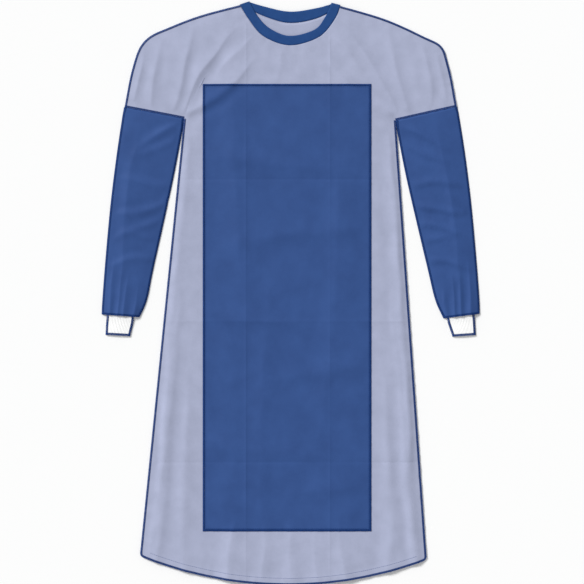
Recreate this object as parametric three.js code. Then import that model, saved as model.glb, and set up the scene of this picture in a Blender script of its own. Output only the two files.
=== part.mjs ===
// A reinforced surgical gown laid out flat with its front up, made from the pieces that are cut and sewn:
// a front, two lapping backs, a reinforcement panel, two sleeves, two knitted cuffs and a neck band.
// Millimetres. +Z is up, +Y runs from the hem to the neck, and left and right are as seen from the front.
import * as THREE from 'three';

// Cloth and seams
const cloth = 1.2; // wall of the nonwoven body and sleeves
const bandCloth = 1.6; // neck band, a strip folded double
const seamGap = 0.3; // between pieces that are sewn or laid together
const layerStep = cloth + seamGap; // from one laid layer to the next

// How the layers stand off each other
const bodyRise = 2; // front above the back, away from the seams
const bodyEase = 30; // distance from a seam over which the front swells
const ribHeight = 0.5; // knitted ribs of a cuff
const ribsAcross = 17; // ribs on the upper side of a cuff

// Hem, an arc of a circle
const hem = { centreX: -6, bottomY: -641.5, radius: 870 };

// Reinforcement panel on the front
const panel = { left: -193, right: 177, bottom: -523, top: 459.5 };

// The backs lap over each other: each crosses the middle, and the left one lies on the right one
const lap = { pastMiddle: 92, liftFrom: 175, liftTo: 130 };

// Plan of each side: seam ends, and the edge from the sleeve over the shoulder to the neck
const sides = {
  left: {
    hemX: -331.5,
    underarm: [-234.5, 384],
    shoulder: [[-365, 409], [-349, 490], [-329, 545], [-307, 566], [-208, 607], [-111, 633]],
  },
  right: {
    hemX: 299,
    underarm: [231, 380],
    shoulder: [[365, 410], [350, 490], [334, 535], [318, 551], [213, 600], [109, 631]],
  },
};

// Neck edges from the left shoulder to the right: where the band is sewn on, and its free edge
const neck = {
  front: {
    sewn: [[-111, 633], [-91, 600], [-59, 564], [-2, 544.5], [61, 562], [96, 600], [109, 631]],
    free: [[-90, 640], [-72, 608], [-45, 581.5], [-2, 565.5], [52, 579], [75.5, 606.5], [89, 636]],
  },
  back: {
    sewn: [[-111, 633], [-56, 608], [-2, 594], [58, 604.5], [109, 631]],
    free: [[-90, 640], [-64, 632], [-2, 619], [60, 627.5], [89, 636]],
  },
};

// Sleeve sections from below the armhole to the wrist: both edges, the swell and how fast it comes
const sleeveSections = {
  left: [
    { outer: [-380, 310], inner: [-256, 272], rise: 2.6, ease: 24 },
    { outer: [-394, 200], inner: [-281, 155], rise: 2.8, ease: 20 },
    { outer: [-405, 85], inner: [-304, 51], rise: 3, ease: 16 },
    { outer: [-412, -3], inner: [-317, -14], rise: 4, ease: 11 },
    { outer: [-415, -46.5], inner: [-333, -52.5], rise: 5.2, ease: 9 },
  ],
  right: [
    { outer: [381, 310], inner: [253, 270], rise: 2.6, ease: 24 },
    { outer: [395, 200], inner: [279, 155], rise: 2.8, ease: 20 },
    { outer: [406, 85], inner: [303.5, 51], rise: 3, ease: 16 },
    { outer: [413, -3], inner: [319, -14], rise: 4, ease: 11 },
    { outer: [415, -45], inner: [336.5, -55], rise: 5.2, ease: 9 },
  ],
};

// Cuff sections from inside the sleeve to the hand: both edges, height of the underside, swell and rib share
const cuffSections = {
  left: [
    { outer: [-403, -37], inner: [-345, -41], base: layerStep, rise: 0, ribs: 0 },
    { outer: [-404, -52], inner: [-345.5, -56], base: layerStep, rise: 0.2, ribs: 0.4 },
    { outer: [-405, -62], inner: [-346.5, -66], base: 0, rise: 1, ribs: 1 },
    { outer: [-406, -77], inner: [-350, -80], base: 0, rise: 1.4, ribs: 1 },
    { outer: [-407, -91.5], inner: [-353, -94.5], base: 0, rise: 1.2, ribs: 1 },
  ],
  right: [
    { outer: [403, -37], inner: [343.5, -41], base: layerStep, rise: 0, ribs: 0 },
    { outer: [404, -51], inner: [344, -56], base: layerStep, rise: 0.2, ribs: 0.4 },
    { outer: [405, -62], inner: [346.5, -66], base: 0, rise: 1, ribs: 1 },
    { outer: [406, -77], inner: [351.5, -81], base: 0, rise: 1.4, ribs: 1 },
    { outer: [407, -92], inner: [356, -95.5], base: 0, rise: 1.2, ribs: 1 },
  ],
};

// Soft folds, each a ridge from one plan point to another that dies away at both ends
const frontFolds = [
  { from: [-224, 350], to: [-268, -780], width: 26, height: 1.5 },
  { from: [214, 345], to: [240, -780], width: 25, height: 1.4 },
  { from: [-104, -310], to: [-132, -900], width: 38, height: 1.3 },
  { from: [62, -280], to: [88, -900], width: 42, height: 1.1 },
  { from: [-232, 392], to: [-66, 520], width: 24, height: 1.2 },
  { from: [226, 388], to: [74, 524], width: 22, height: 1.1 },
  { from: [-318, 430], to: [-196, 590], width: 30, height: 1 },
  { from: [316, 432], to: [206, 584], width: 28, height: 1 },
];
const sleeveFolds = [
  { from: [-318, 376], to: [-374, -40], width: 22, height: 0.8 },
  { from: [306, 372], to: [378, -30], width: 20, height: 0.7 },
];

// Grid of the cloth
const grid = {
  middleColumns: 16,
  backColumns: 8,
  sideColumns: 3,
  armholeColumns: 8,
  hemRows: 3,
  panelRows: 18,
  yokeRows: 6,
  sleeveStations: 12,
  underColumns: 4,
  foldSteps: 5,
};

const colours = { gown: 0xa9aeca, reinforced: 0x3a558c, knit: 0xf4f4f2, band: 0x2c4c86 };
const finishes = {
  gown: { color: colours.gown, roughness: 0.85, metalness: 0 },
  reinforced: { color: colours.reinforced, roughness: 0.7, metalness: 0 },
  knit: { color: colours.knit, roughness: 0.95, metalness: 0 },
  band: { color: colours.band, roughness: 0.8, metalness: 0 },
};

const point = ([x, y]) => new THREE.Vector2(x, y);
const splineThrough = (places) => new THREE.SplineCurve(places.map(point));
const straight = (a, b, steps) => new THREE.LineCurve(a, b).getPoints(steps);
const smooth = (t) => THREE.MathUtils.smoothstep(t, 0, 1);
const stepsTo = (steps, make) => Array.from({ length: steps + 1 }, (_, i) => make(i / steps));

const bandEdges = ({ sewn, free }) => ({ sewn: splineThrough(sewn), free: splineThrough(free) });
const frontNeck = bandEdges(neck.front);
const backNeck = bandEdges(neck.back);

// Stretch of the back neck that each back covers, as shares of the sewn edge
const shareAtX = (x) => backNeck.sewn.getPoints(200).findIndex((p) => p.x >= x) / 200;
const leftBackNeck = { from: 0, to: shareAtX(lap.pastMiddle) };
const rightBackNeck = { from: shareAtX(-lap.pastMiddle), to: 1 };
const backNeckPoints = ({ from, to }) => (
  stepsTo(grid.backColumns, (t) => backNeck.sewn.getPoint(from + t * (to - from)))
);

// Chains of points that pass evenly from one chain to another
function between(first, last, steps) {
  return stepsTo(steps, (t) => first.map((p, k) => p.clone().lerp(last[k], t)));
}

const hemAt = (x) => new THREE.Vector2(
  x,
  hem.bottomY + hem.radius - Math.sqrt(hem.radius ** 2 - (x - hem.centreX) ** 2),
);

// Seams of the body, as chains in the plan
function seamsOf(side) {
  const rows = grid.hemRows + grid.panelRows;
  const underarm = point(side.underarm);
  const shoulder = splineThrough(side.shoulder);
  return {
    sideSeam: straight(hemAt(side.hemX), underarm, rows),
    armhole: straight(point(side.shoulder[0]), underarm, grid.armholeColumns),
    shoulder: shoulder.getSpacedPoints(grid.armholeColumns + grid.sideColumns),
  };
}
const seams = { left: seamsOf(sides.left), right: seamsOf(sides.right) };
const closedSeams = [seams.left, seams.right].flatMap((s) => [s.sideSeam, s.shoulder]);

function distanceToChain(place, chain) {
  const nearest = new THREE.Vector3();
  const at = new THREE.Vector3(place.x, place.y, 0);
  const stretch = new THREE.Line3();
  return chain.slice(1).reduce((least, end, i) => {
    stretch.start.set(chain[i].x, chain[i].y, 0);
    stretch.end.set(end.x, end.y, 0);
    stretch.closestPointToPoint(at, true, nearest);
    return Math.min(least, nearest.distanceTo(at));
  }, Infinity);
}

const swell = (distance, ease) => 1 - Math.exp(-distance / ease);

// Height that the folds add at a place
function foldsAt(place, folds) {
  return folds.reduce((sum, fold) => {
    const from = point(fold.from);
    const run = point(fold.to).sub(from);
    const offset = place.clone().sub(from);
    const along = THREE.MathUtils.clamp(offset.dot(run) / run.lengthSq(), 0, 1);
    const aside = offset.cross(run) / run.length();
    return sum + fold.height * 4 * along * (1 - along) * Math.exp(-((aside / fold.width) ** 2));
  }, 0);
}

// Share of the lift over the lap of the backs, from none at the sides to all of it at the middle
const lapShare = (x) => smooth((lap.liftFrom - Math.abs(x)) / (lap.liftFrom - lap.liftTo));

const rightBackAt = () => 0;
const leftBackAt = ({ x }) => (x > 0 ? layerStep : layerStep * lapShare(x));
function frontAt(place) {
  const fromSeam = Math.min(...closedSeams.map((chain) => distanceToChain(place, chain)));
  const raised = bodyRise + foldsAt(place, frontFolds);
  return layerStep * (1 + lapShare(place.x)) + raised * swell(fromSeam, bodyEase);
}

// Plan grids of a body panel. A sewn side goes out to its side seam, armhole and shoulder;
// a side that is not sewn ends in a straight edge of the middle.
function bodyPanel({ left, right, middle, neckline }) {
  const { columns } = middle;
  const acrossAt = (y) => straight(point([middle.left, y]), point([middle.right, y]), columns);
  const lower = between(acrossAt(0).map((p) => hemAt(p.x)), acrossAt(panel.bottom), grid.hemRows);
  const upper = between(acrossAt(panel.bottom), acrossAt(panel.top), grid.panelRows);
  const rows = [...lower, ...upper.slice(1)];
  const sideGrid = (seam, edge) => (
    between(seam.sideSeam, rows.map((row) => row.at(edge)), grid.sideColumns)
      .map(([onHem, ...above]) => [hemAt(onHem.x), ...above])
  );
  const leftGrid = left ? sideGrid(left, 0) : [];
  const rightGrid = right ? sideGrid(right, -1) : [];
  const chest = [
    ...(left ? [...left.armhole, ...leftGrid.slice(1, -1).map((column) => column.at(-1))] : []),
    ...rows.at(-1),
    ...(right ? [...right.armhole, ...rightGrid.slice(1, -1).map((column) => column.at(-1))].reverse() : []),
  ];
  const collar = [
    ...(left ? left.shoulder.slice(0, -1) : []),
    ...neckline,
    ...(right ? right.shoulder.slice(0, -1).reverse() : []),
  ];
  const grids = [rows, leftGrid, rightGrid, between(chest, collar, grid.yokeRows)];
  return { grids: grids.filter((g) => g.length), upper };
}

// A closed solid from its corners and triangles, with its faces pointing out
function solidGeometry(corners, triangles) {
  const volume = triangles.reduce((sum, [a, b, c]) => (
    sum + corners[a].dot(new THREE.Vector3().crossVectors(corners[b], corners[c]))
  ), 0);
  const outward = volume > 0 ? triangles : triangles.map(([a, b, c]) => [a, c, b]);
  const geometry = new THREE.BufferGeometry().setFromPoints(corners);
  geometry.setIndex(outward.flat());
  geometry.computeVertexNormals();
  return geometry;
}

// A wall of cloth over plan grids, standing on undersideAt; grids share the points where they meet
function clothWall(grids, undersideAt, thickness) {
  const corners = [];
  const known = new Map();
  const cornerOf = (p) => {
    const key = `${p.x.toFixed(3)} ${p.y.toFixed(3)}`;
    if (!known.has(key)) {
      const z = undersideAt(p);
      known.set(key, corners.length);
      corners.push(new THREE.Vector3(p.x, p.y, z), new THREE.Vector3(p.x, p.y, z + thickness));
    }
    return known.get(key);
  };
  const triangles = [];
  const edges = new Map();
  const addPlan = (plan) => {
    const [a, b, c] = plan;
    if (new Set(plan.map(cornerOf)).size < 3) return;
    const turn = b.clone().sub(a).cross(c.clone().sub(a));
    const [i, j, k] = (turn > 0 ? [a, b, c] : [a, c, b]).map(cornerOf);
    triangles.push([i + 1, j + 1, k + 1], [i, k, j]);
    [[i, j], [j, k], [k, i]].forEach(([from, to]) => edges.set(`${from} ${to}`, [from, to]));
  };
  grids.forEach((rows) => rows.slice(1).forEach((row, i) => row.slice(1).forEach((far, k) => {
    addPlan([rows[i][k], rows[i][k + 1], far]);
    addPlan([rows[i][k], far, row[k]]);
  })));
  edges.forEach(([from, to]) => {
    if (!edges.has(`${to} ${from}`)) triangles.push([from, to, to + 1], [from, to + 1, from + 1]);
  });
  return solidGeometry(corners, triangles);
}

// A solid through rings of points: capped at both ends, or with its last ring joined to its first
function loft(rings, joined) {
  const count = rings[0].length;
  const triangles = [];
  rings.forEach((_, i) => {
    if (i === rings.length - 1 && !joined) return;
    const here = i * count;
    const next = ((i + 1) % rings.length) * count;
    for (let k = 0; k < count; k += 1) {
      const turn = (k + 1) % count;
      triangles.push([here + k, here + turn, next + turn], [here + k, next + turn, next + k]);
    }
  });
  if (!joined) {
    const last = (rings.length - 1) * count;
    for (let k = 1; k < count - 1; k += 1) {
      triangles.push([0, k + 1, k], [last, last + k, last + k + 1]);
    }
  }
  return solidGeometry(rings.flat(), triangles);
}

// One ring of a flattened tube: up over its top from the outer edge to the inner one, and back underneath
function flatRing({ outer, inner, base, topAt, columns, inset, wall }) {
  const across = inner.clone().sub(outer);
  const width = across.length();
  across.normalize();
  const depth = inset ? wall : 0;
  const edge = wall + seamGap / 2 + (inset ? seamGap : 0);
  const at = (offset, z) => new THREE.Vector3(outer.x + across.x * offset, outer.y + across.y * offset, z);
  const offsets = (steps) => stepsTo(steps, (t) => edge + t * (width - 2 * edge));
  const middle = base + wall + seamGap / 2;
  return [
    at(depth, middle),
    ...offsets(columns).map((offset, k) => at(offset, topAt(at(offset, 0), offset, width, k) - depth)),
    at(width - depth, middle),
    ...offsets(grid.underColumns).reverse().map((offset) => at(offset, base + depth)),
  ];
}

// A flattened tube with an open end at each end of its sections
function flatTube(sections) {
  const outside = sections.map((section) => flatRing({ ...section, inset: false }));
  const inside = sections.map((section) => flatRing({ ...section, topAt: section.insideAt, inset: true }));
  return loft([...outside, ...inside.reverse()], true);
}

// The sleeve starts a seam's gap below the armhole and clear of the side seam
function sleeveStart(side) {
  const outer = point(side.shoulder[0]);
  const inner = point(side.underarm);
  const across = inner.clone().sub(outer).normalize();
  const away = new THREE.Vector2(across.y, -across.x).multiplyScalar(across.x > 0 ? seamGap : -seamGap);
  return {
    outer: outer.add(away).toArray(),
    inner: inner.add(away).addScaledVector(across, -3 * seamGap).toArray(),
    rise: bodyRise,
    ease: bodyEase,
  };
}

function sleeveGeometry(name) {
  const table = [sleeveStart(sides[name]), ...sleeveSections[name]];
  const outerEdge = splineThrough(table.map((row) => row.outer));
  const innerEdge = splineThrough(table.map((row) => row.inner));
  const shape = splineThrough(table.map((row) => [row.rise, row.ease]));
  const sections = stepsTo(grid.sleeveStations, (t) => {
    const { x: rise, y: ease } = shape.getPoint(t);
    const topAt = (place, offset, width) => {
      const raised = rise + foldsAt(new THREE.Vector2(place.x, place.y), sleeveFolds);
      return cloth + layerStep + raised * swell(Math.min(offset, width - offset), ease);
    };
    return {
      outer: outerEdge.getPoint(t),
      inner: innerEdge.getPoint(t),
      base: 0,
      topAt,
      insideAt: topAt,
      columns: grid.armholeColumns + 2,
      wall: cloth,
    };
  });
  return flatTube(sections);
}

// Ribs stand on the upper side of the knitted tube; its inside and underside are plain
function cuffGeometry(name) {
  return flatTube(cuffSections[name].map(({ outer, inner, base, rise, ribs }) => {
    const insideAt = (place, offset, width) => (
      base + cloth + layerStep + rise * Math.sin(Math.PI * THREE.MathUtils.clamp(offset / width, 0, 1))
    );
    const topAt = (place, offset, width, k) => insideAt(place, offset, width) + (k % 2) * ribs * ribHeight;
    return {
      outer: point(outer),
      inner: point(inner),
      base,
      topAt,
      insideAt,
      columns: 2 * ribsAcross,
      wall: cloth,
    };
  }));
}

// The band is one strip: along the left back, over the left shoulder, round the front,
// over the right shoulder and along the right back. A section has its middle, its direction and its face.
function neckBandGeometry() {
  const up = new THREE.Vector3(0, 0, 1);
  const rightBackHeight = bandCloth / 2;
  const leftBackHeight = rightBackHeight + bandCloth + seamGap;
  const shoulderHeight = leftBackHeight + bandCloth + 2 * seamGap;
  const frontHeight = (t) => Math.max(shoulderHeight, frontAt(frontNeck.sewn.getPoint(t)) + cloth / 2);
  const sectionAt = (edges, t, height, faceUp) => {
    const free = edges.free.getPoint(t);
    const across = free.clone().sub(edges.sewn.getPoint(t));
    const width = across.length() - seamGap;
    across.normalize();
    const middle = free.addScaledVector(across, -width / 2);
    return {
      middle: new THREE.Vector3(middle.x, middle.y, height),
      across: new THREE.Vector3(across.x, across.y, 0),
      face: up.clone().multiplyScalar(faceUp ? 1 : -1),
      width,
    };
  };
  const shoulderFold = (t, backHeight) => {
    const flat = sectionAt(frontNeck, t, 0, true);
    const radius = (frontHeight(t) - backHeight) / 2;
    const away = new THREE.Vector3().crossVectors(flat.across, up).multiplyScalar(t < 0.5 ? -1 : 1);
    return stepsTo(grid.foldSteps, (share) => share * Math.PI).slice(1, -1).map((angle) => ({
      ...flat,
      middle: flat.middle.clone()
        .addScaledVector(away, radius * Math.sin(angle))
        .setZ(backHeight + radius + radius * Math.cos(angle)),
      face: away.clone().multiplyScalar(Math.sin(angle)).addScaledVector(up, Math.cos(angle)),
    }));
  };
  const backRun = ({ from, to }, height) => (
    stepsTo(grid.backColumns, (t) => sectionAt(backNeck, from + t * (to - from), height, false))
  );
  const sections = [
    ...backRun(leftBackNeck, leftBackHeight).reverse(),
    ...shoulderFold(0, leftBackHeight).reverse(),
    ...stepsTo(grid.middleColumns, (t) => sectionAt(frontNeck, t, frontHeight(t), true)),
    ...shoulderFold(1, rightBackHeight),
    ...backRun(rightBackNeck, rightBackHeight).reverse(),
  ];
  const corner = bandCloth / 4;
  const rings = sections.map(({ middle, across, face, width }) => [
    [-width / 2 + corner, -bandCloth / 2], [width / 2 - corner, -bandCloth / 2],
    [width / 2, -corner], [width / 2, corner],
    [width / 2 - corner, bandCloth / 2], [-width / 2 + corner, bandCloth / 2],
    [-width / 2, corner], [-width / 2, -corner],
  ].map(([along, out]) => middle.clone().addScaledVector(across, along).addScaledVector(face, out)));
  return loft(rings, false);
}

const front = bodyPanel({
  left: seams.left,
  right: seams.right,
  middle: { left: panel.left, right: panel.right, columns: grid.middleColumns },
  neckline: frontNeck.sewn.getPoints(grid.middleColumns),
});
const leftBack = bodyPanel({
  left: seams.left,
  middle: { left: panel.left, right: lap.pastMiddle, columns: grid.backColumns },
  neckline: backNeckPoints(leftBackNeck),
});
const rightBack = bodyPanel({
  right: seams.right,
  middle: { left: -lap.pastMiddle, right: panel.right, columns: grid.backColumns },
  neckline: backNeckPoints(rightBackNeck),
});

const gown = new THREE.Group();
function addPiece(name, geometry, finish) {
  const mesh = new THREE.Mesh(geometry, new THREE.MeshStandardMaterial(finishes[finish]));
  mesh.name = name;
  gown.add(mesh);
}

addPiece('front', clothWall(front.grids, frontAt, cloth), 'gown');
addPiece('back_left', clothWall(leftBack.grids, leftBackAt, cloth), 'gown');
addPiece('back_right', clothWall(rightBack.grids, rightBackAt, cloth), 'gown');
const onFrontAt = (place) => frontAt(place) + layerStep;
addPiece('front_reinforcement', clothWall([front.upper], onFrontAt, cloth), 'reinforced');
['left', 'right'].forEach((name) => {
  addPiece(`sleeve_${name}`, sleeveGeometry(name), 'reinforced');
  addPiece(`cuff_${name}`, cuffGeometry(name), 'knit');
});
addPiece('neck_band', neckBandGeometry(), 'band');

export default gown;
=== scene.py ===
import math
import bmesh
import bpy
import numpy as np
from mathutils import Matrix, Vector, bvhtree, kdtree, noise


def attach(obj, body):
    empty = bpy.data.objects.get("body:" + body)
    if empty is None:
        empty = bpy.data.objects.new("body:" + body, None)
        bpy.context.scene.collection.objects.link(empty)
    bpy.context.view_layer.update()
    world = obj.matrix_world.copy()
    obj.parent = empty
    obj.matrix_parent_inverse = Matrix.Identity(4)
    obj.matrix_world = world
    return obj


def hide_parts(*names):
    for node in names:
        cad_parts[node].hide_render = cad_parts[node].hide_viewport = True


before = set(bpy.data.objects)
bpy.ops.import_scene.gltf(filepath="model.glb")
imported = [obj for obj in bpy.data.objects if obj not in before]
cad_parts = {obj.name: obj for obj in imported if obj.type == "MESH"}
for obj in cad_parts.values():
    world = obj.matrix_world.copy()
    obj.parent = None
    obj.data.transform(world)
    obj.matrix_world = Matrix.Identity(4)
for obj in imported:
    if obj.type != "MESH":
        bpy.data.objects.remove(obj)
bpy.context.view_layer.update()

mm = 0.001
photoPixels = 584
pixelSize = 2.2 * mm  # what one pixel of the picture covers on the gown


# Nodes that the finishes share
def addNode(tree, kind, **inputs):
    made = tree.nodes.new(kind)
    for name, value in inputs.items():
        made.inputs[name.replace("_", " ")].default_value = value
    return made


def freshMaterial(name):
    material = bpy.data.materials.new(name)
    material.use_nodes = True
    tree = material.node_tree
    return material, tree, tree.nodes["Principled BSDF"]


def scaledCoords(tree, scale, turn=0.0):
    coords = tree.nodes.new("ShaderNodeTexCoord")
    mapping = tree.nodes.new("ShaderNodeMapping")
    mapping.inputs["Scale"].default_value = scale
    mapping.inputs["Rotation"].default_value = (0.0, 0.0, turn)
    tree.links.new(coords.outputs["Object"], mapping.inputs["Vector"])
    return mapping.outputs["Vector"]


def spread(tree, value, low, high, toLow, toHigh):
    made = tree.nodes.new("ShaderNodeMapRange")
    for socket, number in zip(("From Min", "From Max", "To Min", "To Max"), (low, high, toLow, toHigh)):
        made.inputs[socket].default_value = number
    tree.links.new(value, made.inputs["Value"])
    return made.outputs["Result"]


def combine(tree, operation, first, second):
    made = tree.nodes.new("ShaderNodeMath")
    made.operation = operation
    for socket, value in zip(made.inputs, (first, second)):
        if isinstance(value, (int, float)):
            socket.default_value = value
        else:
            tree.links.new(value, socket)
    return made.outputs["Value"]


def tinted(tree, shade, dark, light):
    ramp = tree.nodes.new("ShaderNodeValToRGB")
    ramp.color_ramp.elements[0].color = (*dark, 1.0)
    ramp.color_ramp.elements[1].color = (*light, 1.0)
    tree.links.new(shade, ramp.inputs["Fac"])
    return ramp.outputs["Color"]


def bumped(tree, shader, height, strength, depth):
    bump = addNode(tree, "ShaderNodeBump", Strength=strength, Distance=depth)
    tree.links.new(height, bump.inputs["Height"])
    tree.links.new(bump.outputs["Normal"], shader.inputs["Normal"])


def nonwoven(name, finish):
    # a web of fibres with cloudy thickness, held by a diamond of pressed points
    material, tree, shader = freshMaterial(name)
    links = tree.links
    clouds = addNode(tree, "ShaderNodeTexNoise", Scale=finish["cloudScale"], Detail=5.0, Roughness=0.62)
    links.new(scaledCoords(tree, (1, 1, 1)), clouds.inputs["Vector"])
    fibres = addNode(tree, "ShaderNodeTexNoise", Scale=finish["fibreScale"], Detail=4.0, Roughness=0.7)
    links.new(scaledCoords(tree, (1.0, 0.28, 1.0), math.radians(8)), fibres.inputs["Vector"])
    bonds = addNode(tree, "ShaderNodeTexVoronoi", Scale=finish["bondScale"], Randomness=0.0)
    bonds.voronoi_dimensions = "2D"
    links.new(scaledCoords(tree, (1.0, 0.72, 1.0), math.radians(45)), bonds.inputs["Vector"])
    web = spread(tree, bonds.outputs["Distance"], 0.2, 0.34, 0.0, 1.0)  # 0 on a pressed point
    shade = combine(tree, "ADD",
                    spread(tree, clouds.outputs["Fac"], 0.3, 0.7, 0.0, 0.55),
                    spread(tree, fibres.outputs["Fac"], 0.25, 0.75, 0.0, 0.45))
    shade = combine(tree, "MULTIPLY", shade, spread(tree, web, 0.0, 1.0, finish["bondShade"], 1.0))
    links.new(tinted(tree, shade, finish["dark"], finish["light"]), shader.inputs["Base Color"])
    rough = finish["rough"]
    links.new(spread(tree, fibres.outputs["Fac"], 0.2, 0.8, rough - 0.06, rough + 0.06),
              shader.inputs["Roughness"])
    height = combine(tree, "ADD",
                     combine(tree, "MULTIPLY", web, 0.6),
                     combine(tree, "MULTIPLY", fibres.outputs["Fac"], 0.4))
    bumped(tree, shader, height, finish["bump"], 0.25 * mm)
    shader.inputs["Sheen Weight"].default_value = finish["sheen"]
    shader.inputs["Sheen Roughness"].default_value = 0.45
    shader.inputs["Specular IOR Level"].default_value = finish["gloss"]
    return material


def ribKnit(name, finish):
    # columns of small loops along the ribs, with painted shade between the loops and a little fuzz
    material, tree, shader = freshMaterial(name)
    links = tree.links
    loops = addNode(tree, "ShaderNodeTexVoronoi", Scale=1.0, Randomness=0.25)
    loops.voronoi_dimensions = "2D"
    links.new(scaledCoords(tree, finish["loopScale"]), loops.inputs["Vector"])
    fuzz = addNode(tree, "ShaderNodeTexNoise", Scale=finish["fuzzScale"], Detail=5.0, Roughness=0.7)
    links.new(scaledCoords(tree, (1, 1, 1)), fuzz.inputs["Vector"])
    # painted shade: each loop darkens towards its edge, where shade falls between loops; the fuzz adds
    # random tone, and the same value is the bump height
    shade = combine(tree, "ADD",
                    spread(tree, loops.outputs["Distance"], 0.15, 0.7, 0.7, 0.0),
                    spread(tree, fuzz.outputs["Fac"], 0.3, 0.7, 0.0, 0.3))
    links.new(tinted(tree, shade, finish["dark"], finish["light"]), shader.inputs["Base Color"])
    bumped(tree, shader, shade, 0.5, 0.3 * mm)
    shader.inputs["Roughness"].default_value = 0.92
    shader.inputs["Sheen Weight"].default_value = 0.2
    return material


def twistedThread(name, finish):
    material, tree, shader = freshMaterial(name)
    twist = addNode(tree, "ShaderNodeTexNoise", Scale=2600.0, Detail=3.0, Roughness=0.6)
    tree.links.new(scaledCoords(tree, (1, 1, 1)), twist.inputs["Vector"])
    tree.links.new(tinted(tree, twist.outputs["Fac"], finish["dark"], finish["light"]),
                   shader.inputs["Base Color"])
    bumped(tree, shader, twist.outputs["Fac"], 0.3, 0.1 * mm)
    shader.inputs["Roughness"].default_value = 0.65
    shader.inputs["Specular IOR Level"].default_value = 0.25
    return material


gownCloth = nonwoven("lavender nonwoven", {
    "dark": (0.32, 0.348, 0.474),
    "light": (0.402, 0.433, 0.588),
    "cloudScale": 26.0,
    "fibreScale": 900.0,
    "bondScale": 420.0,
    "bondShade": 0.72,
    "rough": 0.85,
    "bump": 0.35,
    "sheen": 0.06,
    "gloss": 0.2,
})
reinforcedCloth = nonwoven("dark blue laminated nonwoven", {
    "dark": (0.02, 0.058, 0.198),
    "light": (0.032, 0.085, 0.268),
    "cloudScale": 18.0,
    "fibreScale": 1100.0,
    "bondScale": 520.0,
    "bondShade": 0.8,
    "rough": 0.68,
    "bump": 0.28,
    "sheen": 0.03,
    "gloss": 0.24,
})
bandCloth = nonwoven("navy binding", {
    "dark": (0.009, 0.047, 0.17),
    "light": (0.017, 0.07, 0.235),
    "cloudScale": 60.0,
    "fibreScale": 1400.0,
    "bondScale": 900.0,
    "bondShade": 0.85,
    "rough": 0.8,
    "bump": 0.4,
    "sheen": 0.03,
    "gloss": 0.2,
})
cuffKnit = ribKnit("white rib knit", {
    "dark": (0.8, 0.8, 0.795),
    "light": (0.99, 0.99, 0.98),
    "loopScale": (590.0, 820.0, 1.0),
    "fuzzScale": 1500.0,
})
navyThread = twistedThread("navy thread", {
    "dark": (0.002, 0.03, 0.15),
    "light": (0.008, 0.058, 0.265),
})
print("finishes made")


# Cloth from the solids
meshRules = {
    "weld": 0.002,  # points nearer than this are one
    "upFacing": 0.5,  # upward share of a normal on the upper side
    "endFacing": 0.8,  # lengthwise share of a normal on the open end of a tube
    "cornerAngle": math.radians(125),  # an edge that turns more sharply has a corner
    "foldAngle": math.radians(40),  # bend across a turned edge of a strip
    "sewnReach": 0.5,  # a point this near to a corner of another sheet is sewn to it
    "tubeStep": 10.0,  # between points on the long edges of a tube
}


def smoothStep(share):
    share = np.clip(share, 0.0, 1.0)
    return share * share * (3.0 - 2.0 * share)


def linked(name, mesh, material):
    piece = bpy.data.objects.new(name, mesh)
    bpy.context.scene.collection.objects.link(piece)
    mesh.materials.clear()
    mesh.materials.append(material)
    return piece


def meshPlaces(mesh):
    flat = np.empty(len(mesh.vertices) * 3)
    mesh.vertices.foreach_get("co", flat)
    return flat.reshape(-1, 3)


def placesOf(piece):
    return meshPlaces(piece.data)


def setPlaces(piece, places):
    piece.data.vertices.foreach_set("co", places.reshape(-1))
    piece.data.update()


def nodeCopy(node):
    bm = bmesh.new()
    bm.from_mesh(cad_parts[node].data)
    bmesh.ops.remove_doubles(bm, verts=bm.verts, dist=meshRules["weld"] * mm)
    bm.normal_update()
    return bm


def quadded(bm):
    bmesh.ops.join_triangles(bm, faces=bm.faces[:], angle_face_threshold=math.radians(60),
                             angle_shape_threshold=math.radians(70))
    bm.normal_update()


def upperSkin(node):
    bm = nodeCopy(node)
    hidden = [face for face in bm.faces if face.normal.z < meshRules["upFacing"]]
    bmesh.ops.delete(bm, geom=hidden, context="FACES")
    quadded(bm)
    return bm


def holdCorners(bm, sewnTo=()):
    # corners of a cut, and points on corners of what it is sewn to, stay sharp in the finer sheet
    held = bm.verts.layers.float.new("crease_vert")
    corners = []
    reach = meshRules["sewnReach"] * mm
    for vert in bm.verts:
        rim = [edge.other_vert(vert).co - vert.co for edge in vert.link_edges if edge.is_boundary]
        if len(rim) != 2:
            continue
        joins = any(math.hypot(vert.co.x - x, vert.co.y - y) < reach for x, y, _ in sewnTo)
        if joins or rim[0].angle(rim[1]) < meshRules["cornerAngle"]:
            vert[held] = 1.0
            corners.append(np.array(vert.co))
    return corners


def holdRims(bm):
    # edges round the open ends of a tube stay where they are
    held = bm.edges.layers.float.new("crease_edge")
    for edge in bm.edges:
        ends = sum(abs(face.normal.y) > meshRules["endFacing"] for face in edge.link_faces)
        if ends == 1:
            edge[held] = 1.0


def holdFolds(bm, sharpness):
    # turned edges of a strip stay where they are
    held = bm.edges.layers.float.new("crease_edge")
    for edge in bm.edges:
        if edge.calc_face_angle() > meshRules["foldAngle"]:
            edge[held] = sharpness


def evaluatedMesh(piece):
    ready = piece.evaluated_get(bpy.context.evaluated_depsgraph_get())
    return bpy.data.meshes.new_from_object(ready)


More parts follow.
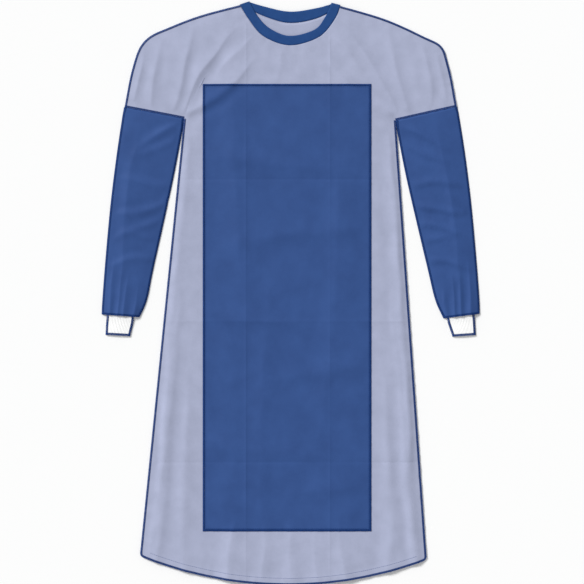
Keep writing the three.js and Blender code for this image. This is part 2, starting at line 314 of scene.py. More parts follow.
def refined(name, bm, levels, material, passes=3):
    # a smooth finer mesh that still goes through the points of the rough one
    rough = bpy.data.meshes.new(name)
    bm.to_mesh(rough)
    bm.free()
    piece = linked(name, rough, material)
    finer = piece.modifiers.new("finer", "SUBSURF")
    finer.levels = finer.render_levels = levels
    finer.use_limit_surface = False
    wanted = placesOf(piece)
    for _ in range(passes):
        smoothed = evaluatedMesh(piece)
        short = wanted - meshPlaces(smoothed)[:len(wanted)]
        setPlaces(piece, placesOf(piece) + short)
        bpy.data.meshes.remove(smoothed)
    piece.data = evaluatedMesh(piece)
    piece.modifiers.clear()
    bpy.data.meshes.remove(rough)
    places = placesOf(piece)
    places[:, 2] = np.maximum(places[:, 2], 0.0)  # nothing under the surface it lies on
    setPlaces(piece, places)
    piece.data.name = name
    piece.data.shade_smooth()
    return piece


def cutAlong(piece, marks):
    # rows of points on and beside each packing fold, so that it is crisp
    bm = bmesh.new()
    bm.from_mesh(piece.data)
    for axis, place, width, _ in marks:
        across = Vector((1, 0, 0)) if axis == 0 else Vector((0, 1, 0))
        for aside in (-width, 0.0, width):
            bmesh.ops.bisect_plane(bm, geom=bm.verts[:] + bm.edges[:] + bm.faces[:], dist=0.1 * mm,
                                   plane_co=across * (place + aside) * mm, plane_no=across)
    bm.to_mesh(piece.data)
    bm.free()
    piece.data.shade_smooth()


def giveThickness(piece, thickness):
    wall = piece.modifiers.new("cloth thickness", "SOLIDIFY")
    wall.thickness = thickness
    wall.offset = -1.0
    wall.use_rim = True


def ruffled(places, scale, seed):
    return np.array([noise.noise((x * scale[0], y * scale[1], seed)) for x, y, _ in places])


creaseForm = {
    "sway": 7.0,  # how far a crease wanders
    "swayScale": (13.0, 13.0),
    "swaySeed": 3.7,
    "uneven": 0.5,  # how much its height varies
    "unevenScale": (9.0, 9.0),
    "unevenSeed": 21.4,
    "fade": 1.7,  # how fast it dies away at its ends
    "endWidth": 0.55,  # shares of its width
    "steepSide": 0.75,
    "slowSide": 1.3,
    "sharpness": 1.5,
    "hollowPlace": 1.9,  # the trough beside it, in widths of the crease
    "hollowWidth": 1.1,
    "hollowDepth": 0.35,  # share of its rise
}


def creaseHeights(places, creases):
    # each crease is a ridge, steeper on one side, with a trough beside it, bowed and fading at its ends
    form = creaseForm
    height = np.zeros(len(places))
    sway = ruffled(places, form["swayScale"], form["swaySeed"]) * form["sway"] * mm
    uneven = 1.0 + form["uneven"] * ruffled(places, form["unevenScale"], form["unevenSeed"])
    for start, end, width, rise, bow, peak in creases:
        first = np.array(start) * mm
        run = np.array(end) * mm - first
        length = np.linalg.norm(run)
        offset = places[:, :2] - first
        along = np.clip(offset @ run / length ** 2, 0.0, 1.0)
        aside = (offset[:, 0] * run[1] - offset[:, 1] * run[0]) / length
        aside = aside + sway - bow * mm * 4.0 * along * (1.0 - along)
        comes = (along / peak) ** (form["fade"] * peak)
        goes = ((1.0 - along) / (1.0 - peak)) ** (form["fade"] * (1.0 - peak))
        ends = comes * goes
        flank = np.where(aside > 0.0, form["steepSide"], form["slowSide"])
        reach = width * mm * (form["endWidth"] + (1.0 - form["endWidth"]) * ends) * flank
        ridge = np.exp(-np.abs(aside / reach) ** form["sharpness"])
        beside = aside - form["hollowPlace"] * width * mm
        hollow = np.exp(-(beside / (form["hollowWidth"] * width * mm)) ** 2)
        height += rise * mm * ends * uneven * (ridge - form["hollowDepth"] * hollow)
    return height


markForm = {
    "scale": (6.0, 6.0),
    "mean": 0.75,  # a packing fold is stronger in some places, as shares of its rise
    "swing": 0.9,
    "least": 0.15,
    "most": 1.3,
    "width": 1.1,
}


def foldHeights(places, marks):
    # straight lines left by packing
    form = markForm
    height = np.zeros(len(places))
    for axis, place, width, rise in marks:
        aside = np.abs(places[:, axis] - place * mm)
        patchy = form["mean"] + form["swing"] * ruffled(places, form["scale"], place * 0.1)
        strength = np.clip(patchy, form["least"], form["most"])
        height += rise * mm * strength * np.exp(-aside / (form["width"] * width * mm))
    return height


crumpleForm = {
    "broad": 0.45,  # share of each layer
    "facets": 0.6,
    "fine": 0.25,
    "broadScale": (17.0, 12.0),
    "facetScale": (11.0, 9.0),
    "fineScale": (46.0, 38.0),
    "broadSeed": 1.3,
    "facetSeed": 5.2,
    "fineSeed": 8.1,
    "facetMiddle": 0.45,
}


def crumple(places, size):
    # soft swells, flat facets with ridges between them and fine unevenness
    form = crumpleForm
    broad = ruffled(places, form["broadScale"], form["broadSeed"])
    facets = form["facetMiddle"] - np.abs(ruffled(places, form["facetScale"], form["facetSeed"]))
    fine = ruffled(places, form["fineScale"], form["fineSeed"])
    return size * mm * (form["broad"] * broad + form["facets"] * facets + form["fine"] * fine)


def pointTree(points):
    tree = kdtree.KDTree(len(points))
    for index, point in enumerate(points):
        tree.insert((point[0], point[1], 0.0), index)
    tree.balance()
    return tree


def nearest(tree, places):
    found = [tree.find((x, y, 0.0)) for x, y, _ in places]
    return np.array([hit[1] for hit in found]), np.array([hit[2] for hit in found])


def spaced(points, step):
    # the same line with points at even steps
    points = np.asarray(points)
    gaps = np.linalg.norm(np.diff(points, axis=0), axis=1)
    along = np.concatenate([[0.0], np.cumsum(gaps)])
    count = max(2, int(round(along[-1] / step)) + 1)
    at = np.linspace(0.0, along[-1], count)
    return np.column_stack([np.interp(at, along, points[:, k]) for k in range(points.shape[1])])


def edgeRuns(piece, corners, names):
    # the sheet's edge as lines from corner to corner, counter-clockwise from the lower left
    bm = bmesh.new()
    bm.from_mesh(piece.data)
    following = {}
    for edge in bm.edges:
        if edge.is_boundary:
            loop = edge.link_loops[0]
            following[loop.vert.index] = loop.link_loop_next.vert.index
    at = {vert.index: np.array(vert.co) for vert in bm.verts if vert.index in following}
    bm.free()
    turns = {min(at, key=lambda i: np.linalg.norm(at[i] - corner)) for corner in corners}
    start = min(turns, key=lambda i: at[i][0] + at[i][1])
    runs = []
    for _ in names:
        run = [start]
        while len(run) == 1 or run[-1] not in turns:
            run.append(following[run[-1]])
        runs.append(np.array([at[i] for i in run]))
        start = run[-1]
    return dict(zip(names, runs))


def roundCorner(piece, first, second, radius):
    # draws the cloth in to an arc where two edges meet; both edges start at the corner
    places = placesOf(piece)
    corner = first[0, :2]
    legs = [(run[2, :2] - corner) / np.linalg.norm(run[2, :2] - corner) for run in (first, second)]
    half = 0.5 * math.acos(legs[0] @ legs[1])
    inward = (legs[0] + legs[1]) / np.linalg.norm(legs[0] + legs[1])
    middle = corner + inward * radius / math.sin(half)
    offset = places[:, :2] - middle
    away = np.maximum(np.linalg.norm(offset, axis=1), 0.01 * mm)
    outside = (away > radius) & (offset @ -inward > away * math.sin(half))
    places[outside, :2] = middle + offset[outside] * (radius / away[outside])[:, None]
    setPlaces(piece, places)


puckerForm = {
    "step": 1.0,
    "driftScale": 0.021,  # how fast their spacing varies
    "drift": 5.0,
    "swingScale": 0.034,  # how fast their depth varies
    "swing": 0.6,
    "mean": 0.7,
}


def puckers(places, run, pitch, depth, reach, seed):
    # small ripples square to a sewn edge
    form = puckerForm
    line = spaced(run, form["step"] * mm)
    index, away = nearest(pointTree(line), places)
    count = range(len(line))
    drift = np.array([noise.noise((i * form["driftScale"], seed, 0.0)) for i in count]) * form["drift"]
    swing = np.array([noise.noise((i * form["swingScale"], seed, 7.0)) for i in count])
    swing = swing * form["swing"] + form["mean"]
    wave = swing * np.sin(2.0 * math.pi * np.arange(len(line)) / pitch + drift)
    return depth * mm * wave[index] * np.exp(-away / (reach * mm))


# Front
hemCorner = 9.0 * mm  # radius where the hem meets a side seam
frontPlan = {
    "levels": 3,
    "thickness": 0.8,
    "quiet": 22.0,  # creases fade this near to a seam
    "sink": 1.1,  # how much deeper a trough may go away from a seam
    "sinkFade": 60.0,
    "sinkAtSeam": 0.3,
    "seamStep": 4.0,  # between the points that stand for a seam
    "hemStep": 2.0,
    "creases": [
        # start, end, width, rise, bow, where it is highest
        ((-226, 352), (-292, -560), 13, 3.6, 10, 0.3),
        ((-238, 60), (-320, -640), 11, 3.0, -9, 0.7),
        ((-208, -40), (-236, -640), 14, 2.8, 12, 0.8),
        ((-252, -60), (-286, -430), 8, 1.7, 5, 0.5),
        ((-262, -250), (-304, -640), 8, 2.2, -5, 0.8),
        ((216, 346), (266, -560), 13, 3.4, -11, 0.3),
        ((224, 40), (286, -640), 11, 2.9, 9, 0.7),
        ((192, -90), (216, -640), 14, 2.7, -12, 0.8),
        ((236, -30), (262, -400), 8, 1.6, -4, 0.5),
        ((246, -280), (276, -640), 8, 2.0, 5, 0.8),
        ((-122, -500), (-140, -650), 15, 2.4, 5, 0.6),
        ((-62, -505), (-66, -650), 12, 1.7, -4, 0.6),
        ((-6, -500), (-2, -650), 15, 2.2, -5, 0.6),
        ((52, -508), (62, -650), 12, 1.6, 4, 0.6),
        ((112, -500), (128, -650), 15, 2.4, 5, 0.6),
        ((-238, 392), (-70, 520), 10, 3.0, 14, 0.3),
        ((-240, 398), (-112, 590), 11, 2.6, -10, 0.35),
        ((-262, 398), (-214, 604), 10, 2.4, 9, 0.3),
        ((-306, 404), (-276, 572), 9, 2.0, -6, 0.35),
        ((-344, 420), (-322, 540), 8, 1.6, 4, 0.4),
        ((232, 388), (76, 522), 10, 2.9, -13, 0.3),
        ((236, 396), (116, 588), 11, 2.5, 10, 0.35),
        ((262, 396), (218, 598), 10, 2.2, -8, 0.3),
        ((308, 404), (284, 560), 9, 1.9, 6, 0.35),
        ((344, 420), (324, 534), 8, 1.5, -4, 0.4),
        ((-84, 566), (-168, 474), 10, 1.8, 6, 0.35),
        ((-20, 540), (-34, 462), 10, 1.2, -3, 0.4),
        ((86, 566), (160, 476), 10, 1.7, -6, 0.35),
        ((-186, 312), (132, 270), 17, 1.8, 12, 0.35),
        ((-178, 96), (160, 136), 20, 1.9, -14, 0.6),
        ((-186, -40), (60, -70), 16, 1.6, 9, 0.35),
        ((-60, -200), (172, -164), 17, 1.7, -10, 0.65),
        ((-182, -330), (96, -356), 18, 1.6, 11, 0.4),
        ((-20, -452), (170, -430), 15, 1.4, -8, 0.6),
        ((-126, 440), (-84, -110), 22, 1.9, 12, 0.4),
        ((104, 380), (66, -320), 24, 1.9, -14, 0.6),
        ((-40, 60), (-66, -500), 20, 1.5, 9, 0.6),
    ],
    "marks": [
        # axis across the line, place, width, rise
        (0, -98.0, 3.0, 0.8),
        (0, 86.0, 3.0, 0.8),
        (1, 250.0, 3.0, -0.7),
        (1, -62.0, 3.0, 0.8),
        (1, -372.0, 3.0, -0.7),
    ],
    "crumple": 1.1,
    "hemTurn": 15.0,
    "hemRise": 0.5,
    "hemEase": 4.0,
    "hemTrim": 18.0,  # how far from a corner the hem's stitches end
    "seamPuckers": (27, 0.5, 11),  # spacing, depth and reach
    "hemPuckers": (31, 0.6, 16),
    "hemSeed": 11,
}
frontSides = ("hem", "sideRight", "armholeRight", "shoulderRight",
              "neck", "shoulderLeft", "armholeLeft", "sideLeft")


def bodyHeights(places, seams):
    raised = creaseHeights(places, frontPlan["creases"]) + foldHeights(places, frontPlan["marks"])
    raised += crumple(places, frontPlan["crumple"])
    _, away = nearest(seams, places)
    faded = raised * smoothStep(away / (frontPlan["quiet"] * mm))
    deepest = -frontPlan["sink"] * mm * smoothStep(away / (frontPlan["sinkFade"] * mm))
    deepest -= frontPlan["sinkAtSeam"] * mm
    return np.maximum(faded, deepest)


bm = upperSkin("front")
frontCorners = holdCorners(bm)
frontSheet = refined("gown_front", bm, frontPlan["levels"], gownCloth)
cutAlong(frontSheet, frontPlan["marks"])
frontEdges = edgeRuns(frontSheet, frontCorners, frontSides)
roundCorner(frontSheet, frontEdges["hem"], frontEdges["sideLeft"][::-1], hemCorner)
roundCorner(frontSheet, frontEdges["hem"][::-1], frontEdges["sideRight"], hemCorner)
frontEdges = edgeRuns(frontSheet, frontCorners, frontSides)
sewnEdges = [run for side, run in frontEdges.items() if side != "hem"]
seamStep = frontPlan["seamStep"] * mm
bodySeams = pointTree(np.concatenate([spaced(run, seamStep) for run in sewnEdges]))
hemLine = pointTree(spaced(frontEdges["hem"], frontPlan["hemStep"] * mm))
places = placesOf(frontSheet)
raised = bodyHeights(places, bodySeams)
for seed, run in enumerate(sewnEdges):
    raised += puckers(places, run, *frontPlan["seamPuckers"], seed)
raised += puckers(places, frontEdges["hem"], *frontPlan["hemPuckers"], frontPlan["hemSeed"])
_, fromHem = nearest(hemLine, places)
pastTurn = (fromHem / mm - frontPlan["hemTurn"]) / frontPlan["hemEase"]
raised += frontPlan["hemRise"] * mm * smoothStep(1.0 - pastTurn)
places[:, 2] += raised
setPlaces(frontSheet, places)
frontEdges = edgeRuns(frontSheet, frontCorners, frontSides)
giveThickness(frontSheet, frontPlan["thickness"] * mm)
print("front laid,", len(places), "points")

# Reinforcement panel, which lies on the front and takes its folds
panelPlan = {
    "levels": 3,
    "thickness": 0.7,
    "drop": 0.5,
    "puckers": (23, 0.3, 9),  # spacing, depth and reach
    "firstSeed": 20,
    "stitchInset": 6.5,
}
panelSides = ("bottom", "right", "top", "left")
bm = upperSkin("front_reinforcement")
corners = holdCorners(bm)
panelSheet = refined("front_reinforcement_sheet", bm, panelPlan["levels"], reinforcedCloth)
cutAlong(panelSheet, frontPlan["marks"])
places = placesOf(panelSheet)
panelEdges = edgeRuns(panelSheet, corners, panelSides)
raised = bodyHeights(places, bodySeams) - panelPlan["drop"] * mm
for seed, run in enumerate(panelEdges.values(), panelPlan["firstSeed"]):
    raised += puckers(places, run, *panelPlan["puckers"], seed)
places[:, 2] += raised
setPlaces(panelSheet, places)
panelEdges = edgeRuns(panelSheet, corners, panelSides)
giveThickness(panelSheet, panelPlan["thickness"] * mm)
print("reinforcement laid,", len(places), "points")

# Backs, flat on the surface under the front
backPlan = {"levels": 2, "thickness": 1.0}
backSides = {
    "left": ("hem", "opening", "neck", "shoulder", "armhole", "side"),
    "right": ("hem", "side", "armhole", "shoulder", "neck", "opening"),
}
backSheets = {}
backEdges = {}
for side, names in backSides.items():
    bm = upperSkin("back_" + side)
    corners = holdCorners(bm, frontCorners)
    backSheets[side] = refined("gown_back_" + side, bm, backPlan["levels"], gownCloth)
    edges = edgeRuns(backSheets[side], corners, names)
    hemEdge = edges["hem"] if side == "left" else edges["hem"][::-1]
    sideSeam = edges["side"][::-1] if side == "left" else edges["side"]
    roundCorner(backSheets[side], hemEdge, sideSeam, hemCorner)
    backEdges[side] = edgeRuns(backSheets[side], corners, names)
    giveThickness(backSheets[side], backPlan["thickness"] * mm)
    print("back laid,", side, len(corners), "corners")

# Sleeves, flattened tubes with their upper side creased at the elbow and eased into the cuff
sleevePlan = {
    "levels": 3,
    "crumple": 0.9,
    "edgeFade": 20.0,
    "armholeFade": 40.0,
    "upperFrom": 1.3,  # height over which the upper side begins
    "upperEase": 1.2,
    "sink": 0.6,  # deepest a trough may go
    "creases": {
        "left": [
            # start, end, width, rise, bow, where it is highest
            ((-240, 376), (-356, 306), 8, 2.8, 6, 0.3),
            ((-252, 340), (-372, 300), 7, 1.8, -5, 0.35),
            ((-266, 232), (-388, 250), 8, 2.5, 6, 0.4),
            ((-272, 198), (-400, 172), 8, 3.2, -7, 0.4),
            ((-280, 160), (-398, 114), 7, 2.7, 5, 0.4),
            ((-288, 124), (-376, 140), 6, 1.9, -4, 0.5),
            ((-298, 76), (-406, 60), 7, 2.2, 5, 0.4),
            ((-330, 380), (-368, 30), 13, 2.0, 10, 0.6),
            ((-388, 84), (-398, -80), 7, 1.9, 3, 0.7),
            ((-370, 62), (-384, -86), 6, 2.1, -3, 0.7),
            ((-352, 46), (-366, -86), 6, 1.9, 3, 0.7),
            ((-334, 20), (-348, -86), 6, 1.6, -3, 0.7),
        ],
        "right": [
            ((236, 372), (354, 312), 8, 2.7, -6, 0.3),
            ((248, 330), (368, 288), 7, 1.8, 5, 0.35),
            ((262, 236), (386, 240), 8, 2.6, -6, 0.4),
            ((270, 192), (398, 180), 8, 3.0, 7, 0.4),
            ((278, 152), (396, 120), 7, 2.6, -5, 0.4),
            ((288, 114), (374, 132), 6, 1.8, 4, 0.5),
            ((298, 72), (406, 48), 7, 2.3, -5, 0.4),
            ((322, 376), (368, 20), 13, 1.9, -10, 0.6),
            ((390, 80), (400, -80), 7, 1.9, -3, 0.7),
            ((372, 58), (384, -86), 6, 2.0, 3, 0.7),
            ((352, 44), (364, -86), 6, 2.0, -3, 0.7),
            ((336, 18), (348, -86), 6, 1.6, 3, 0.7),
        ],
    },
}


def tubeEdges(piece, ends, step):
    # edges of a flattened tube in plan: down its left, along its lower end and up its right
    places = placesOf(piece)
    topLeft, topRight, lowLeft, lowRight = ends
    rows = np.round(places[:, 1] / step).astype(int)

    def upwards(low, top, outermost):
        line = [low]
        for row in np.unique(rows):
            here = places[rows == row]
            edge = here[outermost(here[:, 0])]
            if low[1] + step < edge[1] < top[1] - step:
                line.append(edge)
        return np.array(line + [top])

    return {
        "left": upwards(lowLeft, topLeft, np.argmin)[::-1],
        "low": np.array([lowLeft, lowRight]),
        "right": upwards(lowRight, topRight, np.argmax),
    }


def acrossTube(places, edges):
    # distance from each point to the tube's left and right edge on its own row
    left = edges["left"][::-1]
    right = edges["right"]
    fromLeft = places[:, 0] - np.interp(places[:, 1], left[:, 1], left[:, 0])
    fromRight = np.interp(places[:, 1], right[:, 1], right[:, 0]) - places[:, 0]
    return np.maximum(fromLeft, 0.0), np.maximum(fromRight, 0.0)


def tubeEnds(bm):
    # the outermost points of both open ends
    corners = []
    for way in (1.0, -1.0):
        faces = [face for face in bm.faces if face.normal.y * way > meshRules["endFacing"]]
        rim = [vert.co for face in faces for vert in face.verts]
        corners.append(np.array(min(rim, key=lambda place: place.x)))
        corners.append(np.array(max(rim, key=lambda place: place.x)))
    return corners


def tube(name, node, levels, material):
    bm = nodeCopy(node)
    quadded(bm)
    holdRims(bm)
    ends = tubeEnds(bm)
    piece = refined(name, bm, levels, material)
    return piece, tubeEdges(piece, ends, meshRules["tubeStep"] * mm)


sleeveSheets = {}
sleeveEdges = {}
for side, creases in sleevePlan["creases"].items():
    node = "sleeve_" + side
    sleeve, edges = tube(node + "_cloth", node, sleevePlan["levels"], reinforcedCloth)
    places = placesOf(sleeve)
    sleeveEdges[side] = edges
    fromEdge = np.minimum(*acrossTube(places, edges))
    armhole = pointTree(spaced(frontEdges["armhole" + side.capitalize()], seamStep))
    _, fromArmhole = nearest(armhole, places)
    upper = smoothStep((places[:, 2] - sleevePlan["upperFrom"] * mm) / (sleevePlan["upperEase"] * mm))
    raised = creaseHeights(places, creases) + crumple(places, sleevePlan["crumple"])
    raised *= smoothStep(fromEdge / (sleevePlan["edgeFade"] * mm))
    raised *= smoothStep(fromArmhole / (sleevePlan["armholeFade"] * mm))
    places[:, 2] += np.maximum(raised, -sleevePlan["sink"] * mm) * upper
    setPlaces(sleeve, places)
    sleeveSheets[side] = sleeve
print("sleeves laid")

# Cuffs, tubes of rib knit
cuffPlan = {
    "levels": 2,
    "ribs": 17,
    "ribHeight": 0.35,
    "ribRoundness": 0.8,
    "wristY": -55.0,  # ribs stand up from here to the hand
    "wristEase": 8.0,
    "upperFrom": 2.0,  # height over which the upper side begins
    "upperEase": 1.0,
    "leastWidth": 1.0,
}
cuffSheets = {}
cuffEdges = {}
for side in ("left", "right"):
    node = "cuff_" + side
    cuff, cuffEdges[side] = tube(node + "_knit", node, cuffPlan["levels"], cuffKnit)
    places = placesOf(cuff)
    fromLeft, fromRight = acrossTube(places, cuffEdges[side])
    share = fromLeft / np.maximum(fromLeft + fromRight, cuffPlan["leastWidth"] * mm)
    ribs = np.abs(np.sin(math.pi * cuffPlan["ribs"] * share)) ** cuffPlan["ribRoundness"]
    upper = smoothStep((places[:, 2] - cuffPlan["upperFrom"] * mm) / (cuffPlan["upperEase"] * mm))
    pastWrist = cuffPlan["wristY"] - places[:, 1] / mm
    out = smoothStep(pastWrist / cuffPlan["wristEase"] + 0.5)
    places[:, 2] += cuffPlan["ribHeight"] * mm * ribs * upper * out
    setPlaces(cuff, places)
    cuffSheets[side] = cuff
print("cuffs laid")

# Neck band, a folded strip round the front and along both backs
bandPlan = {
    "levels": 3,
    "foldSharpness": 1.0,
    "stitchInset": -2.6,  # from the sewn edge of the body, so on the band
    "stitchTrim": 4.0,
    "backTop": 4.2,  # stitches of the backs higher than this would lie on the front's band
}
bm = nodeCopy("neck_band")
quadded(bm)
holdFolds(bm, bandPlan["foldSharpness"])
bandSheet = refined("neck_band_binding", bm, bandPlan["levels"], bandCloth)
print("neck band laid")


# Sewing
overlockPlan = {
    "pitch": 1.6,
    "width": 4.5,
    "over": 0.2,  # how far the thread goes past the edge
    "thread": 0.36,
    "chain": 1.4,  # thickness of the looped edge in threads
    "steps": 4,  # points of a zigzag
    "rim": 0.5,  # nearest to the edge that the cloth's height is taken
    "wrap": 0.7,  # how far the thread drops where it goes over the edge
    "inset": 0.2,  # of the chain from the edge, and of the needle thread from the zigzag's end
    "lift": 0.8,  # height over the cloth in threads
    "cross": 0.5,  # how much higher every other strand lies, in threads
    "needle": 0.9,  # thickness of the needle thread in threads
}
# stitches lie closer on pale cloth, and the knit has a finer thread
frontOverlock = {**overlockPlan, "pitch": 1.3}
cuffOverlock = {**overlockPlan, "pitch": 0.8, "width": 5.2, "thread": 0.3, "chain": 1.8}
stitchPlan = {
    "length": 3.2,
    "gap": 1.2,
    "thread": 0.28,
    "dip": 0.12,  # heights of a stitch from end to middle
    "shoulder": 0.14,
    "crown": 0.22,
    "step": 0.5,  # between points of the line that it follows
}
rayHeight = 0.1  # in metres, well over all the cloth


def surfaceTree(piece):
    bm = bmesh.new()
    bm.from_mesh(piece.data)
    tree = bvhtree.BVHTree.FromBMesh(bm)
    bm.free()
    return tree


def topOf(tree, line):
    # heights of the cloth under a line seen from above; off the cloth the line's own heights stay
    heights = []
    for x, y, z in line:
        hit = tree.ray_cast(Vector((x, y, rayHeight)), Vector((0, 0, -1)))[0]
        heights.append(z if hit is None else hit.z)
    return np.array(heights)


def inwardOf(line):
    along = np.gradient(line[:, :2], axis=0)
    along /= np.linalg.norm(along, axis=1)[:, None]
    return np.column_stack([-along[:, 1], along[:, 0]])


def inset(line, inward, distance):
    moved = line.copy()
    moved[:, :2] += inward * np.broadcast_to(distance, len(line))[:, None]
    return moved


def overlock(run, tree, plan):
    # a thread that zigzags over the edge, a looped chain on the edge and a line of needle thread
    steps = plan["steps"]
    thread = plan["thread"] * mm
    line = spaced(run, plan["pitch"] * mm / steps)
    inward = inwardOf(line)
    turn = np.arange(len(line)) / steps
    reach = plan["width"] * (0.5 - 0.5 * np.cos(2.0 * math.pi * turn)) - plan["over"]
    zigzag = inset(line, inward, reach * mm)
    onCloth = inset(line, inward, np.maximum(reach, plan["rim"]) * mm)
    everyOther = np.floor(turn * 2.0) % 2
    zigzag[:, 2] = topOf(tree, onCloth) + thread * (plan["lift"] + plan["cross"] * everyOther)
    zigzag[:, 2] -= plan["wrap"] * mm * smoothStep(1.0 - reach / plan["rim"])
    zigzag[:, 2] = np.maximum(zigzag[:, 2], thread)
    chain = inset(line, inward, plan["inset"] * mm)[::steps]
    chainTop = topOf(tree, inset(line, inward, plan["rim"] * mm)[::steps])
    chain[:, 2] = np.maximum(chainTop, thread * plan["chain"])
    needle = inset(line, inward, (plan["width"] - plan["over"] - plan["inset"]) * mm)[::steps]
    needle[:, 2] = topOf(tree, needle) + thread * plan["lift"]
    return [(zigzag, 1.0), (chain, plan["chain"]), (needle, plan["needle"])]


def stitchRow(run, tree, distance, plan, trim=0.0):
    # separate stitches on a line that runs beside an edge, each dipping in at both ends
    line = spaced(run, plan["step"] * mm)
    line = inset(line, inwardOf(line), distance * mm)
    cut = int(trim / plan["step"])
    line = line[cut:len(line) - cut]
    line[:, 2] = topOf(tree, line)
    step = int(round((plan["length"] + plan["gap"]) / plan["step"]))
    size = int(round(plan["length"] / plan["step"]))
    arch = np.array([-plan["dip"], plan["shoulder"], plan["crown"], plan["shoulder"], -plan["dip"]]) * mm
    made = []
    for first in range(0, len(line) - size, step):
        stitch = line[[first, first + 1, first + size // 2, first + size - 1, first + size]].copy()
        stitch[:, 2] += arch
        made.append((stitch, 1.0))
    return made


def threadPiece(name, paths, thickness):
    curve = bpy.data.curves.new(name, "CURVE")
    curve.dimensions = "3D"
    curve.bevel_depth = thickness * mm
    curve.bevel_resolution = 0
    curve.use_fill_caps = True
    for path, fatness in paths:
        spline = curve.splines.new("POLY")
        spline.points.add(len(path) - 1)
        spline.points.foreach_set("co", np.column_stack([path, np.ones(len(path))]).reshape(-1))
        spline.points.foreach_set("radius", np.full(len(path), fatness))
    drawn = bpy.data.objects.new(name + " line", curve)
    bpy.context.scene.collection.objects.link(drawn)
    mesh = evaluatedMesh(drawn)
    bpy.data.objects.remove(drawn)
    bpy.data.curves.remove(curve)
    bm = bmesh.new()
    bm.from_mesh(mesh)
    bmesh.ops.remove_doubles(bm, verts=bm.verts, dist=0.001 * mm)  # joins the end caps
    bm.to_mesh(mesh)
    bm.free()
    piece = linked(name, mesh, navyThread)
    mesh.name = name
    mesh.shade_smooth()
    return piece


frontTop = surfaceTree(frontSheet)
panelTop = surfaceTree(panelSheet)
bandTop = surfaceTree(bandSheet)
edging = {}
paths = [path for side, run in frontEdges.items() if side != "neck"
         for path in overlock(run, frontTop, frontOverlock)]
edging["front"] = threadPiece("front_overlock", paths, frontOverlock["thread"])
paths = [path for run in panelEdges.values() for path in overlock(run, panelTop, overlockPlan)]
edging["panel"] = threadPiece("reinforcement_overlock", paths, overlockPlan["thread"])
for side in ("left", "right"):
    top = surfaceTree(sleeveSheets[side])
    paths = [path for end in ("left", "low", "right")
             for path in overlock(sleeveEdges[side][end], top, overlockPlan)]
    edging["sleeve_" + side] = threadPiece("sleeve_" + side + "_overlock", paths, overlockPlan["thread"])
    top = surfaceTree(cuffSheets[side])
    paths = [path for end in ("left", "low", "right")
             for path in overlock(cuffEdges[side][end], top, cuffOverlock)]
    edging["cuff_" + side] = threadPiece("cuff_" + side + "_overlock", paths, cuffOverlock["thread"])
rows = stitchRow(frontEdges["hem"], frontTop, frontPlan["hemTurn"], stitchPlan, frontPlan["hemTrim"])
edging["hem"] = threadPiece("hem_stitches", rows, stitchPlan["thread"])
inside = panelPlan["stitchInset"]
rows = [stitch for run in panelEdges.values()
        for stitch in stitchRow(run, panelTop, inside, stitchPlan, inside)]
edging["panelRow"] = threadPiece("reinforcement_stitches", rows, stitchPlan["thread"])
inside = bandPlan["stitchInset"]
rows = stitchRow(frontEdges["neck"], bandTop, inside, stitchPlan, bandPlan["stitchTrim"])
backRows = [stitch for edges in backEdges.values()
            for stitch in stitchRow(edges["neck"], bandTop, inside, stitchPlan)]
rows += [stitch for stitch in backRows if stitch[0][:, 2].max() < bandPlan["backTop"] * mm]
edging["band"] = threadPiece("neck_band_stitches", rows, stitchPlan["thread"])
print("sewing made,", len(edging), "pieces")

# What each piece stands for, and the cut of each cloth
cloths = [
    # piece, node, slot, flat width and length, flat area, what it lies on, sewing
    (frontSheet, "front", "gown_cloth", (0.73, 1.275), 0.6928, ["back_left", "back_right"],
     ["front", "hem"]),
    (backSheets["left"], "back_left", "gown_cloth", (0.458, 1.275), 0.4749, ["back_right"], []),
    (backSheets["right"], "back_right", "gown_cloth", (0.457, 1.272), 0.4554, [], []),
    (panelSheet, "front_reinforcement", "reinforced_cloth", (0.37, 0.9825), 0.3635, ["front"],
     ["panel", "panelRow"]),
    (sleeveSheets["left"], "sleeve_left", "reinforced_cloth", (0.27, 0.461), 0.1033, [],
     ["sleeve_left"]),
    (sleeveSheets["right"], "sleeve_right", "reinforced_cloth", (0.272, 0.465), 0.1054, [],
     ["sleeve_right"]),
    (cuffSheets["left"], "cuff_left", "cuff_knit", (0.116, 0.056), 0.0063, [], ["cuff_left"]),
    (cuffSheets["right"], "cuff_right", "cuff_knit", (0.116, 0.056), 0.0064, [], ["cuff_right"]),
    (bandSheet, "neck_band", "band_cloth", (0.0205, 0.68), 0.0138, ["front", "back_left", "back_right"],
     ["band"]),
]
for piece, node, slot, flat, area, under, sewing in cloths:
    threads = [edging[name] for name in sewing]
    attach(piece, "root")
    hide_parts(node)
    for thread in threads:
        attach(thread, "root")

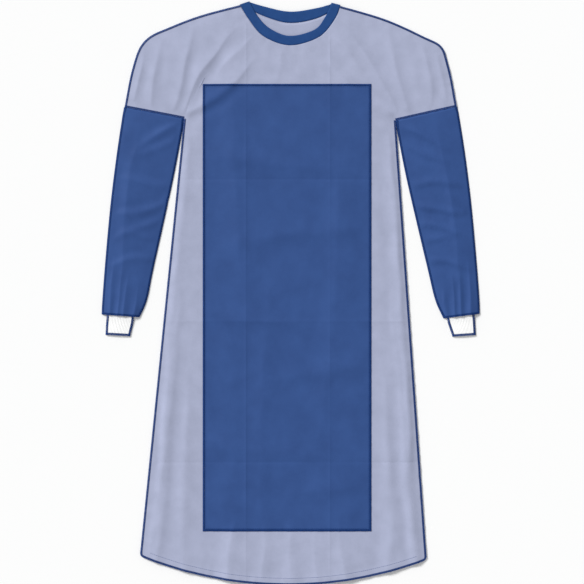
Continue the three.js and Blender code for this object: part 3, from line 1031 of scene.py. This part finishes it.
# Floor, light and camera
studio = {
    "lens": 135.0,
    "lookAt": (2.9, 2.6),
    "keyFrom": (-0.62, 0.55, 0.6),
    "keyPower": 3.0,
    "keySoftness": math.radians(18),
    "skyColour": (0.985, 0.99, 1.0),
    "skyPower": 0.53,
    "floorSize": 14.0,
    "floorDrop": 0.2,
    "floorColour": (0.905, 0.905, 0.9),
    "floorRough": 0.9,
    "floorGloss": 0.1,
    "farthest": 100.0,  # that the camera sees
}
paleFloor, _, floorShader = freshMaterial("pale floor")
floorShader.inputs["Base Color"].default_value = (*studio["floorColour"], 1.0)
floorShader.inputs["Roughness"].default_value = studio["floorRough"]
floorShader.inputs["Specular IOR Level"].default_value = studio["floorGloss"]
bm = bmesh.new()
bmesh.ops.create_grid(bm, x_segments=1, y_segments=1, size=studio["floorSize"] / 2)
bmesh.ops.translate(bm, verts=bm.verts, vec=(0, 0, -studio["floorDrop"] * mm))
floorMesh = bpy.data.meshes.new("floor")
bm.to_mesh(floorMesh)
bm.free()
floor = linked("floor", floorMesh, paleFloor)

world = bpy.data.worlds.new("soft sky")
world.use_nodes = True
sky = world.node_tree.nodes["Background"]
sky.inputs["Color"].default_value = (*studio["skyColour"], 1.0)
sky.inputs["Strength"].default_value = studio["skyPower"]
bpy.context.scene.world = world

keyLight = bpy.data.lights.new("key light", "SUN")
keyLight.energy = studio["keyPower"]
keyLight.angle = studio["keySoftness"]
key = bpy.data.objects.new("key light", keyLight)
key.rotation_euler = Vector(studio["keyFrom"]).to_track_quat("Z", "Y").to_euler()
bpy.context.scene.collection.objects.link(key)

cameraData = bpy.data.cameras.new("camera")
cameraData.lens = studio["lens"]
cameraData.clip_end = studio["farthest"]
camera = bpy.data.objects.new("camera", cameraData)
viewWidth = photoPixels * pixelSize
camera.location = Vector((studio["lookAt"][0] * mm, studio["lookAt"][1] * mm,
                          viewWidth * cameraData.lens / cameraData.sensor_width))
bpy.context.scene.collection.objects.link(camera)
bpy.context.scene.camera = camera
bpy.context.scene.view_settings.view_transform = "Standard"
print("studio set")
